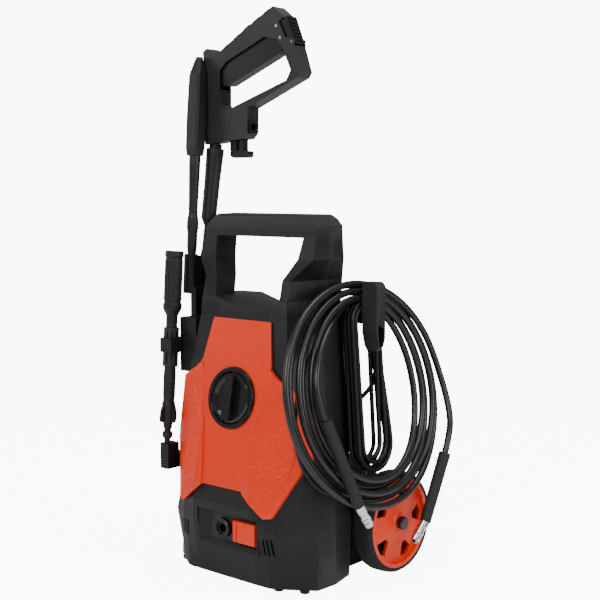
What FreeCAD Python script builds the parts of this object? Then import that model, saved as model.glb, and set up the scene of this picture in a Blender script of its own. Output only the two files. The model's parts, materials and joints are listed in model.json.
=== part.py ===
"""Domestic pressure washer with its spray gun, two lances, hose coil and power cord.

Frame: millimetres, +Z up, the front of the machine faces -Y, X = 0 is the centre plane of the
housing and Z = 0 is the floor.
"""
import FreeCAD, Part
import math
import os

import Sketcher

VEC = FreeCAD.Vector
X_AXIS = VEC(1, 0, 0)
Y_AXIS = VEC(0, 1, 0)
Z_AXIS = VEC(0, 0, 1)

doc = FreeCAD.newDocument("pressure_washer")
sheet = doc.addObject("Spreadsheet::Sheet", "dim")

# Driving dimensions, in millimetres (angles in degrees).
DIMENSIONS = {
    "wall": 3.0,
    "seam_y": -50.0,
    "underside": 5.0,
    "crown": 420.0,
    "tower_back": 12.0,
    "wheel_rad": 77.0,
    "wheel_y": 70.0,
    "wheel_inner": 136.0,
    "wheel_outer": 172.0,
    "axle_rad": 5.0,
    "running_gap": 0.06,
    "knob_z": 274.0,
    "knob_rad": 37.0,
    "front_lean": 10.5,
    "outlet_x": -4.0,
    "outlet_z": 81.0,
    "outlet_bore": 7.0,
    "gun_y": -22.0,
    "gun_half": 13.0,
    "lance_x": -143.0,
    "cord_rad": 3.4,
}
CELLS = dict(DIMENSIONS)
SUBPARTS = []


def add_cell(alias, value):
    """Put one driving dimension in the sheet and return the expression that reads it."""
    if alias not in CELLS or sheet.getCellFromAlias(alias) is None:
        row = len(sheet.getUsedCells()) // 2 + 1
        sheet.set(f"A{row}", alias)
        sheet.set(f"B{row}", repr(round(float(value), 4)))
        sheet.setAlias(f"B{row}", alias)
        CELLS[alias] = value
    return "dim." + alias


for dimension_name, dimension_value in DIMENSIONS.items():
    add_cell(dimension_name, dimension_value)
doc.recompute()
DIM = DIMENSIONS


def bind(obj, prop, alias, value):
    obj.setExpression(prop, add_cell(alias, value))


def place(obj, base=(0, 0, 0), axis=Z_AXIS, angle=0.0):
    obj.Placement = FreeCAD.Placement(VEC(*base), FreeCAD.Rotation(axis, angle))
    return obj


def keep(obj, label):
    """Mark an object as a sub-part: its label names its node and its file."""
    obj.Label = label
    SUBPARTS.append(obj)
    return obj


# ---------------------------------------------------------------- part design helpers
def new_body(name):
    return doc.addObject("PartDesign::Body", "body_" + name)


def new_sketch(body, name, plane, lift):
    sketch = body.newObject("Sketcher::SketchObject", name)
    origin_plane = [f for f in body.Origin.OriginFeatures if f.Role == plane + "_Plane"][0]
    sketch.AttachmentSupport = [(origin_plane, "")]
    sketch.MapMode = "FlatFace"
    if lift:
        bind(sketch, "AttachmentOffset.Base.z", name + "_lift", lift)
    return sketch


def add_loop(sketch, points, tag):
    """Add one closed polygon whose corners are bound to sheet cells."""
    first = sketch.GeometryCount
    count = len(points)
    corners = [VEC(x, y, 0) for x, y in points]
    for i in range(count):
        sketch.addGeometry(Part.LineSegment(corners[i], corners[(i + 1) % count]), False)
    for i in range(count):
        here = first + i
        after = first + (i + 1) % count
        sketch.addConstraint(Sketcher.Constraint("Coincident", here, 2, after, 1))
    for i, (x, y) in enumerate(points):
        for kind, value, letter in (("DistanceX", x, "x"), ("DistanceY", y, "y")):
            index = sketch.addConstraint(
                Sketcher.Constraint(kind, -1, 1, first + i, 1, float(value)))
            alias = f"{sketch.Name}_{tag}{i}{letter}"
            bind(sketch, f"Constraints[{index}]", alias, value)


def polygon(body, name, plane, *loops, lift=0.0):
    sketch = new_sketch(body, name, plane, lift)
    for number, points in enumerate(loops):
        add_loop(sketch, points, "abcdefgh"[number])
    return sketch


def circles(body, name, plane, centre, *radii, lift=0.0):
    """Concentric circles: two radii make a ring."""
    sketch = new_sketch(body, name, plane, lift)
    for number, radius in enumerate(radii):
        geometry = sketch.addGeometry(Part.Circle(VEC(centre[0], centre[1], 0), Z_AXIS, radius))
        for kind, value in (("DistanceX", centre[0]), ("DistanceY", centre[1])):
            index = sketch.addConstraint(
                Sketcher.Constraint(kind, -1, 1, geometry, 3, float(value)))
            bind(sketch, f"Constraints[{index}]", f"{sketch.Name}_c{number}{kind[-1]}", value)
        index = sketch.addConstraint(Sketcher.Constraint("Radius", geometry, float(radius)))
        bind(sketch, f"Constraints[{index}]", f"{sketch.Name}_rad{number}", radius)
    return sketch


def pad(body, sketch, length, both=False, back=False):
    feature = body.newObject("PartDesign::Pad", sketch.Name + "_pad")
    feature.Profile = sketch
    bind(feature, "Length", feature.Name + "_len", length)
    feature.Midplane = both
    feature.Reversed = back
    return feature


def pocket(body, sketch, length=None, both=False, back=False):
    """Cut a profile: to a depth, or right through when no length is given."""
    feature = body.newObject("PartDesign::Pocket", sketch.Name + "_cut")
    feature.Profile = sketch
    if length is None:
        feature.Type = 1
    else:
        bind(feature, "Length", feature.Name + "_len", length)
    feature.Midplane = both
    feature.Reversed = back
    return feature


def loft(body, sections, cut=False):
    kind = "PartDesign::SubtractiveLoft" if cut else "PartDesign::AdditiveLoft"
    feature = body.newObject(kind, sections[0].Name + "_loft")
    feature.Profile = sections[0]
    feature.Sections = sections[1:]
    feature.Ruled = True
    return feature


def turn(body, sketch, axis="V_Axis", groove=False):
    kind = "PartDesign::Groove" if groove else "PartDesign::Revolution"
    feature = body.newObject(kind, sketch.Name + "_turn")
    feature.Profile = sketch
    feature.ReferenceAxis = (sketch, [axis])
    feature.Angle = 360.0
    return feature


def ring_pattern(body, feature, sketch, count, axis="N_Axis"):
    """Repeat a feature round an axis of its sketch, the normal unless another is named."""
    pattern = body.newObject("PartDesign::PolarPattern", feature.Name + "_ring")
    pattern.Originals = [feature]
    pattern.Axis = (sketch, [axis])
    pattern.Angle = 360.0
    pattern.Occurrences = count
    body.Tip = pattern
    return pattern


# ---------------------------------------------------------------- primitive helpers
def block(name, low, high):
    box = doc.addObject("Part::Box", name)
    for prop, a, b in zip(("Length", "Width", "Height"), low, high):
        bind(box, prop, f"{name}_{prop.lower()}", b - a)
    return place(box, low)


def rod(name, radius, length, base, axis=Z_AXIS):
    """A cylinder from base along axis."""
    cylinder = doc.addObject("Part::Cylinder", name)
    bind(cylinder, "Radius", name + "_rad", radius)
    bind(cylinder, "Height", name + "_len", length)
    cylinder.Placement = FreeCAD.Placement(VEC(*base), FreeCAD.Rotation(Z_AXIS, axis))
    return cylinder


def cone(name, radius_low, radius_high, length, base, axis=Z_AXIS):
    shape = doc.addObject("Part::Cone", name)
    bind(shape, "Radius1", name + "_rad_low", radius_low)
    bind(shape, "Radius2", name + "_rad_high", radius_high)
    bind(shape, "Height", name + "_len", length)
    shape.Placement = FreeCAD.Placement(VEC(*base), FreeCAD.Rotation(Z_AXIS, axis))
    return shape


def cut(name, base, *tools):
    result = base
    for number, tool in enumerate(tools):
        step = doc.addObject("Part::Cut", f"{name}_step{number}")
        step.Base = result
        step.Tool = tool
        result = step
    return result


def fuse(name, *shapes):
    union = doc.addObject("Part::MultiFuse", name + "_union")
    union.Shapes = list(shapes)
    return union


def group(name, *shapes):
    """Separate solids that share one node, such as identical fasteners."""
    compound = doc.addObject("Part::Compound", name + "_group")
    compound.Links = list(shapes)
    return compound


def point_along(base, direction, distance):
    return tuple(b + d * distance for b, d in zip(base, direction))


# ---------------------------------------------------------------- housing surface
# Each ring is one level of the faceted tower. The corners on the right side are nose, cheek,
# corner, flank, seam, shoulder and back; the left side mirrors them.
RINGS = {
    "foot": (5, (56, -129), (82, -128), (91, -125), (141, -90), 143, (131, -4), 117),
    "lip": (50, (60, -137), (84, -133), (106, -124), (141, -88), 142.5, (133, -4), 119),
    "crest": (90, (62, -142), (88, -137), (112, -127), (138, -90), 141, (134, -4), 120),
    "brow": (118, (60, -143), (88, -134), (114, -118), (134, -92), 140, (133.5, -4), 120),
    "hip": (192, (48, -132), (90, -118), (129, -97), (131, -80), 132.5, (129.5, -4), 117),
    "chest": (300, (54, -112), (76, -111.5), (100, -111), (110, -86), 119, (122, -4), 112),
    "neck": (392, (52, -94), (72, -95), (88, -96), (97, -80), 108, (113, -4), 103),
    "crown": (420, (52, -91), (70, -93), (86, -95), (95, -80), 106, (109.5, -4), 99),
}


def mirrored(points):
    """Close a half outline of the right side with its mirror image."""
    return points + [(-x, y) for x, y in reversed(points)]


def front_outline(ring, grow, back):
    nose, cheek, corner, flank = ring[1:5]
    return mirrored([
        (nose[0], nose[1] - grow),
        (cheek[0] + 0.4 * grow, cheek[1] - grow),
        (corner[0] + 0.8 * grow, corner[1] - 0.8 * grow),
        (flank[0] + grow, flank[1] - 0.3 * grow),
        (ring[5] + grow, back),
    ])


def front_sections(body, name, names, grow, back, levels=()):
    """Sketches of the tower's front half at the named rings."""
    sections = []
    for number, ring_name in enumerate(names):
        ring = RINGS[ring_name]
        level = levels[number] if levels else ring[0]
        outline = front_outline(ring, grow, back)
        sections.append(polygon(body, f"{name}_{ring_name}", "XY", outline, lift=level))
    return sections


def rear_sections(body, name, names, grow, front, levels=()):
    sections = []
    for number, ring_name in enumerate(names):
        ring = RINGS[ring_name]
        level = levels[number] if levels else ring[0]
        outline = mirrored([
            (ring[5] + grow, front),
            (ring[6][0] + grow, ring[6][1]),
            (ring[7] + 0.6 * grow, DIM["tower_back"] + grow),
        ])
        sections.append(polygon(body, f"{name}_{ring_name}", "XY", outline, lift=level))
    return sections


ALL_RINGS = ["foot", "lip", "crest", "brow", "hip", "chest", "neck", "crown"]
CAVITY_LEVELS = [4, 50, 90, 118, 192, 300, 388, 396]
VALLEY = [(-64, 421), (0, 402), (64, 421), (64, 440), (-64, 440)]


def make_hull():
    """The tower's surface as one solid, 0.3 mm proud, to cut what is fixed against it."""
    front = new_body("hull_front")
    loft(front, front_sections(front, "hull_f", ALL_RINGS, 0.3, DIM["seam_y"]))
    rear = new_body("hull_rear")
    loft(rear, rear_sections(rear, "hull_r", ALL_RINGS, 0.3, DIM["seam_y"]))
    return fuse("hull", front, rear)


def make_front_housing():
    body = new_body("front_housing")
    loft(body, front_sections(body, "front_outer", ALL_RINGS, 0.0, DIM["seam_y"]))
    inner = front_sections(body, "front_inner", ALL_RINGS, -3.4, DIM["seam_y"] + 1, CAVITY_LEVELS)
    loft(body, inner, cut=True)
    pocket(body, polygon(body, "front_valley", "XZ", VALLEY), both=True)
    window = [(-52, 52), (70, 52), (70, 106), (-52, 106)]
    pocket(body, polygon(body, "bezel_window", "XZ", window, lift=110), 45, back=True)
    hole = circles(body, "knob_opening", "XZ", (0, DIM["knob_z"]), 45, lift=90)
    pocket(body, hole, 60, back=True)
    for side in (-1, 1):
        for row in range(3):
            x = side * (79 + 6.5 * row) - (3 if side < 0 else 0)
            slot = [(x, 56), (x + 3, 56), (x + 3 - 3 * side, 80), (x - 3 * side, 80)]
            sketch = polygon(body, f"vent_{'l' if side < 0 else 'r'}{row}", "XZ", slot, lift=100)
            pocket(body, sketch, 60, back=True)
    keep(body, "front_housing")


def make_rear_housing():
    body = new_body("rear_housing")
    loft(body, rear_sections(body, "rear_outer", ALL_RINGS, 0.0, DIM["seam_y"]))
    inner = rear_sections(body, "rear_inner", ALL_RINGS, -3.4, DIM["seam_y"] - 1, CAVITY_LEVELS)
    loft(body, inner, cut=True)
    pocket(body, polygon(body, "rear_valley", "XZ", VALLEY), both=True)
    doorway = [(-80, 4), (80, 4), (80, 150), (-80, 150)]
    pocket(body, polygon(body, "pump_doorway", "XZ", doorway), back=False)
    gland = circles(body, "gland_hole", "XZ", (84, 250), 6.2)
    pocket(body, gland, back=False)
    for x, z in SCREW_PLACES:
        hole = circles(body, f"screw_hole_{int(x + 200)}_{z}", "XZ", (x, z), 2.2)
        pocket(body, hole, back=False)
    keep(body, "rear_housing")


SCREW_PLACES = [(-70, 220), (70, 220), (-70, 380), (70, 380)]
PUMP_RINGS = ((5, 106, 98), (40, 114, 110), (130, 114, 110), (160, 102, 90), (176, 82, 56))


def pump_outline(half, back, chamfer, front):
    return mirrored([(half, front), (half, back - chamfer), (half - chamfer, back)])


def make_pump_cover():
    body = new_body("pump_cover")
    front = DIM["tower_back"]
    outer = []
    inner = []
    for number, (level, half, back) in enumerate(PUMP_RINGS):
        outline = pump_outline(half, back, 14, front)
        outer.append(polygon(body, f"pump_outer{number}", "XY", outline, lift=level))
    loft(body, outer)
    inner_levels = (4, 40, 130, 158, 172)
    for number, (level, half, back) in enumerate(PUMP_RINGS):
        outline = pump_outline(half - 3.2, back - 3.2, 13, front - 1)
        inner.append(polygon(body, f"pump_inner{number}", "XY", outline, lift=inner_levels[number]))
    loft(body, inner, cut=True)
    axle_hole = circles(body, "axle_hole", "YZ", (DIM["wheel_y"], DIM["wheel_rad"]), 5.4)
    pocket(body, axle_hole, both=True)
    inlet_hole = circles(body, "inlet_hole", "XZ", (-20, 58), 13.4, lift=-95)
    pocket(body, inlet_hole, 20, back=False)
    for row in range(5):
        z = 84 + 9 * row
        slot = [(20, z), (80, z), (80, z + 4), (20, z + 4)]
        pocket(body, polygon(body, f"rear_vent{row}", "XZ", slot, lift=-95), 20, back=False)
    keep(body, "pump_cover")


def make_base_plate():
    body = new_body("base_plate")
    outline = mirrored([
        (55, -124), (80, -123), (88, -119), (136, -86), (138.5, -50), (126.8, -5), (112, 8),
        (79, 8), (79, 13), (102, 13), (102, 80), (90, 93),
    ])
    pad(body, polygon(body, "base_outline", "XY", outline, lift=DIM["underside"]), 3.5)
    keep(body, "base_plate")


def make_feet():
    places = [(-86, -112), (86, -112), (-122, -96), (122, -96)]
    feet = [cone(f"foot{i}", 7, 8.5, DIM["underside"], (x, y, 0)) for i, (x, y) in enumerate(places)]
    keep(group("feet", *feet), "rubber_feet")


# ---------------------------------------------------------------- orange front cover
COVER_HALF = [
    (58, 389), (71, 321), (82, 312), (94, 305), (104, 298), (114, 262), (129, 212), (132, 194),
    (124, 176), (94, 113), (82, 111), (40, 144),
]
TIE_WIDTH = {"brow": 40, "hip": 44, "chest": 62, "neck": 92}


def make_front_cover():
    body = new_body("front_cover")
    names = ["crest", "brow", "hip", "chest", "neck"]
    outer = []
    inner = []
    for name in names:
        ring = RINGS[name]
        nose, cheek, corner = ring[1:4]
        back = corner[1] + 9
        for grow, store, tag in ((6.0, outer, "out"), (0.7, inner, "in")):
            outline = mirrored([
                (nose[0], nose[1] - grow),
                (cheek[0] + 0.4 * grow, cheek[1] - grow),
                (corner[0] + 0.8 * grow, corner[1] - 0.8 * grow),
                (corner[0] + 3.5 + grow, back + (2 if tag == "in" else 0)),
            ])
            store.append(polygon(body, f"cover_{tag}_{name}", "XY", outline, lift=ring[0]))
    loft(body, outer)
    loft(body, inner, cut=True)
    tie = []
    for name in names[1:]:
        ring = RINGS[name]
        half = TIE_WIDTH[name]
        face = ring[1][1] - 3.2
        outline = mirrored([(half, face), (half + 6, face - 20)])
        tie.append(polygon(body, f"tie_{name}", "XY", outline, lift=ring[0]))
    loft(body, tie, cut=True)
    frame = [(-150, 20), (150, 20), (150, 420), (-150, 420)]
    trim = polygon(body, "cover_trim", "XZ", frame, mirrored(COVER_HALF))
    pocket(body, trim, both=True)
    opening = circles(body, "cover_opening", "XZ", (0, DIM["knob_z"]), 43.5)
    pocket(body, opening, both=True)
    keep(body, "front_cover")


# ---------------------------------------------------------------- carry handle
# Levels of a post: height, then the inner front, outer front, outer rear and inner rear corners.
POST_LEVELS = [
    (420.2, (65, -87), (86, -94), (109, 0), (74, -37)),
    (449, (67, -83), (86, -87), (112, 0), (73, -34)),
    (480, (84, -68), (115, -71), (115, 0), (86, -22)),
    (511, (88, -60), (112, -61), (113, 0), (88, -16)),
    (522, (88, -58), (112, -58), (113, 0), (88, -12)),
]
BAR_SECTION = [(-60, 511), (-59.5, 520), (-51, 541), (-47, 544), (-8, 545), (0, 538), (0, 511)]


def shrink_outline(points, amount):
    """Move every corner of an outline towards its centre along both axes."""
    centre_x = sum(p[0] for p in points) / len(points)
    centre_y = sum(p[1] for p in points) / len(points)
    return [(x - math.copysign(amount, x - centre_x), y - math.copysign(amount, y - centre_y))
            for x, y in points]


def handle_solid(name, shrink):
    """The handle's outer form, or its core when shrink is the wall thickness."""
    body = new_body(name)
    section = shrink_outline(BAR_SECTION, shrink) if shrink else BAR_SECTION
    pad(body, polygon(body, name + "_bar", "YZ", section), 2 * (112.5 - shrink), both=True)
    for side in (-1, 1):
        reach = 112.6 - shrink
        corner = [(side * reach, 528 - shrink), (side * (reach + 9), 528), (side * (reach + 9), 560),
                  (side * (reach - 16), 560), (side * (reach - 16), 546 - shrink)]
        tag = "l" if side < 0 else "r"
        pocket(body, polygon(body, f"{name}_corner_{tag}", "XZ", corner), both=True)
        sections = []
        for number, (level, *corners) in enumerate(POST_LEVELS):
            outline = shrink_outline(corners, shrink) if shrink else corners
            outline = [(side * x, y) for x, y in outline]
            height = level - (shrink if number == 0 else 0)
            sections.append(polygon(body, f"{name}_{tag}{number}", "XY", outline, lift=height))
        loft(body, sections)
    return body


def make_handle():
    outer = handle_solid("grip_outer", 0.0)
    core = handle_solid("grip_core", 3.2)
    shell = cut("grip_shell", outer, core)
    split = -28.0
    for label, low, high in (("handle_front", -120, split), ("handle_rear", split, 40)):
        space = block(label + "_space", (-160, low, 400), (160, high, 600))
        half = doc.addObject("Part::Common", label + "_half")
        half.Base = shell
        half.Tool = space
        keep(half, label)


# ---------------------------------------------------------------- knob, bezel, switch
def lean_placement(base):
    """A frame whose +Z leaves the leaning front surface."""
    return FreeCAD.Placement(VEC(*base), FreeCAD.Rotation(X_AXIS, 90.0 - DIM["front_lean"]))


KNOB_SEAT = (0.0, -120.4, 274.6)


def make_knob_group():
    bezel = new_body("knob_bezel")
    profile = [(38.2, -7), (41.5, -7), (41.5, 0.2), (46.5, 0.2), (45, 3.6), (39.5, 3.6), (38.2, 1.5)]
    turn(bezel, polygon(bezel, "bezel_profile", "XZ", profile))
    floor = circles(bezel, "bezel_floor", "XY", (0, 0), 39, 5.2, lift=-9)
    pad(bezel, floor, 2.2)
    bezel.Placement = lean_placement(KNOB_SEAT)
    keep(bezel, "knob_bezel")

    knob = new_body("power_knob")
    profile = [(0, -19.6), (3.99, -19.6), (3.99, -6), (DIM["knob_rad"], -6),
               (DIM["knob_rad"], 2.5), (34.5, 4.8), (31, 4.8), (28, 1.0), (0, 1.0)]
    turn(knob, polygon(knob, "knob_profile", "XZ", profile))
    ridge = [(-7.5, -34), (7.5, -34), (8.5, 0), (7.5, 34), (-7.5, 34), (-8.5, 0)]
    pad(knob, polygon(knob, "knob_ridge", "XY", ridge, lift=0.5), 10)
    knob.Placement = lean_placement(KNOB_SEAT)
    keep(knob, "power_knob")

    placement = lean_placement(KNOB_SEAT)
    switch = block("switch_block", (-24, -24, -38), (24, 24, -20.2))
    switch.Placement = placement.multiply(switch.Placement)
    keep(switch, "switch_body")


# ---------------------------------------------------------------- outlet, release button
def make_outlet_group():
    bezel = new_body("outlet_bezel")
    front = 140.2
    outline = [(-51.6, 52.4), (69.6, 52.4), (69.6, 105.6), (-51.6, 105.6)]
    pad(bezel, polygon(bezel, "bezel_block", "XZ", outline, lift=front), 20, back=True)
    rim = [(-50.6, 53.4), (68.6, 53.4), (68.6, 104.6), (-50.6, 104.6)]
    floor = [(-34, 62), (66, 62), (66, 102), (-28, 102)]
    recess = [polygon(bezel, "recess_rim", "XZ", rim, lift=front + 0.01),
              polygon(bezel, "recess_floor", "XZ", floor, lift=front - 8)]
    loft(bezel, recess, cut=True)
    inside = [(-48, 56), (66, 56), (66, 102), (-48, 102)]
    pocket(bezel, polygon(bezel, "bezel_inside", "XZ", inside, lift=front - 21), 9.5, back=True)
    outlet = (DIM["outlet_x"], DIM["outlet_z"])
    pocket(bezel, circles(bezel, "outlet_opening", "XZ", outlet, 14.4), both=True)
    slot = [(12.5, 65), (63, 65), (63, 97), (12.5, 97)]
    pocket(bezel, polygon(bezel, "button_slot", "XZ", slot), both=True)
    keep(bezel, "outlet_bezel")

    socket = new_body("outlet_socket")
    profile = [(DIM["outlet_bore"], 0), (9.5, 0), (9.5, 40), (14, 40), (14, 45), (12, 46.5),
               (10.5, 46.5), (10.5, 44), (DIM["outlet_bore"], 44)]
    turn(socket, polygon(socket, "socket_profile", "XZ", profile))
    place(socket, (outlet[0], -93, outlet[1]), X_AXIS, 90)
    keep(socket, "outlet_socket")

    button = new_body("release_button")
    face = [(19, 65.4), (62.6, 65.4), (62.6, 96.6), (19, 96.6)]
    pad(button, polygon(button, "button_face", "XZ", face, lift=139), 12, back=True)
    grip = [(25, 65), (30, 65), (30, 97), (25, 97)]
    pocket(button, polygon(button, "button_dish", "XZ", grip, lift=139.1), 1.4, back=False)
    link = [(36, 76), (56, 76), (56, 86), (36, 86)]
    pad(button, polygon(button, "latch_link", "XZ", link, lift=127.5), 8, back=True)
    tongue = [(14, 76), (60, 76), (60, 86), (14, 86)]
    pad(button, polygon(button, "latch_tongue", "XZ", tongue, lift=121), 3, back=True)
    keep(button, "release_button")


# ---------------------------------------------------------------- wheels
HUB_TURN = 13


def make_wheel(side):
    """A wheel built about the local X axis; the left one is the right one turned round."""
    word = "right" if side > 0 else "left"
    angle = 0 if side > 0 else 180
    base = (0, DIM["wheel_y"], DIM["wheel_rad"])
    inner = DIM["wheel_inner"]
    outer = DIM["wheel_outer"]

    tyre = new_body("tyre_" + word)
    tread = [(inner + 2, 15.5), (inner + 5, 15.5), (inner + 5, 69.3), (outer - 1.5, 69.3),
             (outer, 70.5), (outer, 73.5), (outer - 4, 76), (outer - 11, 77), (inner + 8, 77),
             (inner, 74.5), (inner, 71)]
    turn(tyre, polygon(tyre, "tread_" + word, "XZ", tread), "H_Axis")
    place(tyre, base, Z_AXIS, angle)
    keep(tyre, "tyre_" + word)

    hub = new_body("hub_" + word)
    bore = DIM["axle_rad"] + DIM["running_gap"]
    profile = [(inner + 6, 63), (outer - 1, 63), (outer - 1, 69.2), (inner + 6, 69.2)]
    turn(hub, polygon(hub, "rim_" + word, "XZ", profile), "H_Axis")
    disc = [(outer - 9, 14), (outer - 4, 14), (outer - 8, 63.5), (outer - 13, 63.5)]
    turn(hub, polygon(hub, "disc_" + word, "XZ", disc), "H_Axis")
    boss = [(inner + 3, bore), (outer - 2, bore), (outer - 2, 12), (outer - 5, 17), (inner + 3, 14)]
    turn(hub, polygon(hub, "boss_" + word, "XZ", boss), "H_Axis")
    window = [(reach * math.sin(math.radians(HUB_TURN + swing)),
               reach * math.cos(math.radians(HUB_TURN + swing)))
              for reach, swing in ((36, -7), (36, 7), (56, 14.5), (61, 0), (56, -14.5))]
    sketch = polygon(hub, "hub_window_" + word, "YZ", window, lift=outer - 20)
    feature = pocket(hub, sketch, 20, back=True)
    ring_pattern(hub, feature, sketch, 5)
    place(hub, base, Z_AXIS, angle)
    keep(hub, "hub_" + word)


def make_axle():
    y, z = DIM["wheel_y"], DIM["wheel_rad"]
    reach = 175.0
    keep(rod("axle_rod", DIM["axle_rad"], 2 * reach, (-reach, y, z), X_AXIS), "wheel_axle")
    caps = []
    bushes = []
    for number, side in enumerate((-1, 1)):
        direction = VEC(side, 0, 0)
        cap_solid = rod(f"cap{number}", 10, 6.0, (side * 172.4, y, z), direction)
        cap_bore = rod(f"cap_bore{number}", DIM["axle_rad"], 2.6, (side * 172.4, y, z), direction)
        caps.append(cut(f"cap_cut{number}", cap_solid, cap_bore))
        bush = rod(f"bush{number}", 9, 24, (side * 114, y, z), direction)
        bush_bore = rod(f"bush_bore{number}", 5.06, 24, (side * 114, y, z), direction)
        bushes.append(cut(f"bush_cut{number}", bush, bush_bore))
    keep(group("caps", *caps), "axle_caps")
    keep(group("bushes", *bushes), "axle_bushes")


# ---------------------------------------------------------------- motor and pump
MOTOR = (0.0, -40.0)


def make_drive():
    x, y = MOTOR
    can = cut("motor_can", rod("motor_out", 37, 148, (x, y, 150)),
              rod("motor_in", 33, 140, (x, y, 154)), rod("motor_mouth", 6, 160, (x, y, 145)))
    keep(can, "motor_housing")
    rotor = fuse("rotor", rod("rotor_core", 29, 110, (x, y, 170)),
                 rod("rotor_shaft", 5.94, 188, (x, y, 137)))
    keep(rotor, "motor_rotor")

    fan = new_body("cooling_fan")
    pad(fan, circles(fan, "fan_disc", "XY", (0, 0), 34, 5.94), 2)
    blade = [(9, -1.2), (33, 4), (33, 6.4), (9, 1.2)]
    sketch = polygon(fan, "fan_blade", "XY", blade, lift=1.5)
    feature = pad(fan, sketch, 12)
    ring_pattern(fan, feature, sketch, 9)
    place(fan, (x, y, 304))
    keep(fan, "cooling_fan")

    swash = new_body("swash_plate")
    profile = [(-26, 125), (26, 125), (26, 136.5), (-26, 130)]
    pad(swash, polygon(swash, "swash_wedge", "XZ", profile), 52, both=True)
    outside = [(-60, -60), (60, -60), (60, 60), (-60, 60)]
    sketch = polygon(swash, "swash_round", "XY", outside,
                     [(24 * math.cos(math.radians(a)), 24 * math.sin(math.radians(a)))
                      for a in range(0, 360, 20)])
    pocket(swash, sketch, both=True)
    place(swash, (x, y, 0))
    shaft_end = rod("swash_shaft", 5.9, 8, (x, y, 129))
    keep(fuse("swash", swash, shaft_end), "swash_plate")

    pump = block("pump_cube", (x - 34, y - 30, 52), (x + 34, y + 30, 112))
    tools = []
    pistons = []
    for number in range(3):
        angle = math.radians(90 + 120 * number)
        px = x + 16 * math.cos(angle)
        py = y + 16 * math.sin(angle)
        tools.append(rod(f"piston_bore{number}", 6.05, 32, (px, py, 81)))
        pistons.append(rod(f"piston{number}", 6.0, 40, (px, py, 84)))
    keep(cut("pump", pump, *tools), "pump_block")
    keep(group("pistons", *pistons), "pump_pistons")

    outlet_pipe = cut("outlet_tube", rod("outlet_pipe_out", 8, 23, (DIM["outlet_x"], -70, 81), -Y_AXIS),
                      rod("outlet_pipe_in", 5, 23, (DIM["outlet_x"], -70, 81), -Y_AXIS))
    keep(outlet_pipe, "outlet_pipe")
    inlet_pipe = cut("inlet_tube", rod("inlet_pipe_out", 7, 116, (-20, -10, 58), Y_AXIS),
                     rod("inlet_pipe_in", 5, 116, (-20, -10, 58), Y_AXIS))
    keep(inlet_pipe, "inlet_pipe")
    inlet = new_body("water_inlet")
    profile = [(9.0, 0), (13, 0), (13, 6), (16, 6), (16, 9), (12.5, 9), (12.5, 30), (9.0, 30)]
    turn(inlet, polygon(inlet, "inlet_profile", "XZ", profile))
    place(inlet, (-20, 106, 58), X_AXIS, -90)
    keep(inlet, "water_inlet")
    keep(rod("capacitor_can", 16, 66, (76, -34, 190)), "start_capacitor")


# ---------------------------------------------------------------- hose hook
def make_hook():
    body = new_body("hose_hook")
    foot = [(88, 338), (112, 338), (112, 410), (88, 410)]
    back = DIM["tower_back"]
    pad(body, polygon(body, "hook_foot", "XZ", foot, lift=-back), 8, back=True)
    arm = [(100, 384), (145, 384), (145, 402), (100, 402)]
    pad(body, polygon(body, "hook_arm", "XZ", arm, lift=-back), 20, back=True)
    finger = [(141, 352), (144, 344), (162, 344), (168, 352), (168, 440), (163, 446), (144, 446),
              (141, 440)]
    pad(body, polygon(body, "hook_finger", "XZ", finger, lift=-back + 1), 21, back=True)
    for side, heel in (("front", [(10, 343), (19, 343), (10, 376)]),
                       ("rear", [(33, 343), (25, 343), (33, 366)])):
        pocket(body, polygon(body, "hook_heel_" + side, "YZ", heel, lift=169), 29)
    dish = [(19, 350), (26, 350), (30, 368), (30, 376), (15, 384), (15, 372)]
    pocket(body, polygon(body, "hook_dish", "YZ", dish, lift=169), 12)
    keep(body, "hose_hook")


# ---------------------------------------------------------------- lance holders
TURBO_FOOT = (-143.0, -119.0, 187.0)
TURBO_DIR = VEC(0, 0.066, 1).normalize()
VARIO_FOOT = (-142.0, -64.0, 470.0)
VARIO_DIR = VEC(0, 0.057, 1).normalize()
GUN_LANCE_TOP = (-128.0, -22.0, 653.0)
GUN_LANCE_DIR = VEC(0.06, 0.0876, 1).normalize()
GUN_LANCE_LENGTH = 244.0


def make_holders(hull):
    stem = block("holder_stem", (-131, -100, 300), (-96, -24, 384))
    mast = block("holder_mast", (-134, -74, 380), (-122, -31, 432))
    peak = block("holder_peak", (-135, -76, 430), (-125, -58, 478))
    socket = rod("holder_socket", 11, 62, (-143, -67.1, 418), VARIO_DIR)
    clip = block("holder_clip", (-149, -126, 330), (-124, -92, 352))
    gun_socket = block("gun_socket", (-153, -54, 404), (-130, -31, 432))
    holder = fuse("holder", stem, mast, peak, socket, clip, gun_socket)
    turbo_space = rod("turbo_space", 12.8, 90, point_along(TURBO_FOOT, TURBO_DIR, 120), TURBO_DIR)
    vario_space = rod("vario_space", 7.6, 60, point_along(VARIO_FOOT, VARIO_DIR, -45), VARIO_DIR)
    gun_foot = point_along(GUN_LANCE_TOP, GUN_LANCE_DIR, -GUN_LANCE_LENGTH - 0.5)
    gun_space = rod("gun_space", 6.6, 70, gun_foot, GUN_LANCE_DIR)
    keep(cut("lance_holder", holder, hull, turbo_space, vario_space, gun_space), "lance_holder")

    bracket = block("pocket_bracket", (-146, -97.5, 147), (-110, -86, 170))
    arm = block("pocket_arm", (-146, -126, 147), (-132.2, -86, 170))
    cup = block("pocket_cup", (-150, -127, 147), (-132.2, -104, 187))
    pocket_space = rod("pocket_space", 5.2, 60, point_along(TURBO_FOOT, TURBO_DIR, -14), TURBO_DIR)
    keep(cut("lower_pocket", fuse("pocket", bracket, arm, cup), hull, pocket_space), "lower_lance_pocket")


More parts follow.
